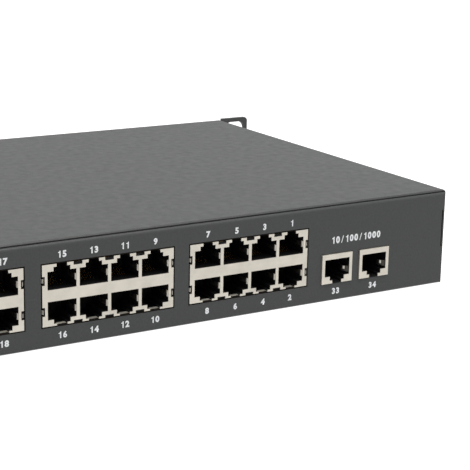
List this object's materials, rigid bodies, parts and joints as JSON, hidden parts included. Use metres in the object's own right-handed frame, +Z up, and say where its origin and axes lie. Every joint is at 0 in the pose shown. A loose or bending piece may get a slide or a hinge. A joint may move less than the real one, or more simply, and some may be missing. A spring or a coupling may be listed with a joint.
{
  "type": "rackmount network switch",
  "caption": "Low, wide steel case for a 19 inch rack, with stacked network sockets, two single shielded sockets and a mains inlet on one long face, and slotted ears at the other.",
  "frame": {"origin": "middle of the flat bottom", "axes": "+X along the width, -Y out of the front with its lamps and rack ears, +Y out of the rear with its sockets, +Z up"},
  "size_m": [0.4822, 0.2086, 0.0444],
  "materials": {
    "bezel_plastic": "fine grained moulding",
    "board_green": "solder mask",
    "bright_screw": "zinc plate",
    "can_sleeve": "sleeve",
    "chip_black": "epoxy",
    "crystal_can": "nickel can",
    "fan_plastic": "moulded",
    "glass_fuse": "clear tube",
    "gold_plate": "thin gold plate",
    "inlet_plastic": "moulded",
    "lamp_clear": "frosted light pipe",
    "powder_coat": "fine textured powder coat",
    "ribbon_grey": "flat cable",
    "screw_steel": "black zinc",
    "sheet_film": "film",
    "sink_aluminium": "anodised",
    "socket_plastic": "black moulded",
    "tin_plate": "satin tinned sheet",
    "transformer": "taped core",
    "white_plastic": "moulded"
  },
  "bodies": {
    "case": {"base_tray": "powder_coat", "board_capacitors": "can_sleeve", "board_screws": "bright_screw", "board_standoffs": "bright_screw", "buffer_memory_chips": "chip_black", "clock_crystals": "crystal_can", "cover_screws": "screw_steel", "ear_screws": "screw_steel", "fan_frame_front": "fan_plastic", "fan_frame_rear": "fan_plastic", "fan_screws": "screw_steel", "front_panel": "bezel_plastic", "ground_screw": "bright_screw", "heat_sinks": "sink_aluminium", "inlet_screws": "bright_screw", "insulating_sheet": "sheet_film", "jack_contacts_33": "gold_plate", "jack_contacts_34": "gold_plate", "jack_housing_33": "socket_plastic", "jack_housing_34": "socket_plastic", "jack_shield_33": "tin_plate", "jack_shield_34": "tin_plate", "lamp_board": "board_green", "lamp_board_posts": "bright_screw", "lamp_ribbon": "ribbon_grey", "light_pipes": "lamp_clear", "line_transformers": "chip_black", "main_board": "board_green", "mains_filter_choke": "transformer", "mains_fuse": "glass_fuse", "mains_terminal": "white_plastic", "port_contacts_17_24": "gold_plate", "port_contacts_1_8": "gold_plate", "port_contacts_25_32": "gold_plate", "port_contacts_9_16": "gold_plate", "port_driver_chips": "chip_black", "port_housing_17_24": "socket_plastic", "port_housing_1_8": "socket_plastic", "port_housing_25_32": "socket_plastic", "port_housing_9_16": "socket_plastic", "port_shield_17_24": "tin_plate", "port_shield_1_8": "tin_plate", "port_shield_25_32": "tin_plate", "port_shield_9_16": "tin_plate", "power_board": "board_green", "power_capacitors": "can_sleeve", "power_heat_sinks": "sink_aluminium", "power_inlet": "inlet_plastic", "power_inlet_pins": "bright_screw", "power_transformer": "transformer", "rack_ear_left": "powder_coat", "rack_ear_right": "powder_coat", "rocker_frame": "inlet_plastic", "supply_connector": "white_plastic", "switching_chips": "chip_black", "top_cover": "powder_coat"},
    "rocker": {"rocker": "inlet_plastic"},
    "front_rotor": {"fan_rotor_front": "fan_plastic"},
    "rear_rotor": {"fan_rotor_rear": "fan_plastic"}
  },
  "joints": [
    {"name": "rocker_tilt", "type": "hinge", "parent": "case", "child": "rocker", "pos_m": [0.146, 0.096, 0.0216], "axis": [1, 0, 0], "range_deg": [-16, 0]},
    {"name": "front_fan_spin", "type": "hinge", "parent": "case", "child": "front_rotor", "pos_m": [0.21015, -0.035, 0.0219], "axis": [1, 0, 0], "continuous": true},
    {"name": "rear_fan_spin", "type": "hinge", "parent": "case", "child": "rear_rotor", "pos_m": [0.21015, 0.008, 0.0219], "axis": [1, 0, 0], "continuous": true}
  ]
}
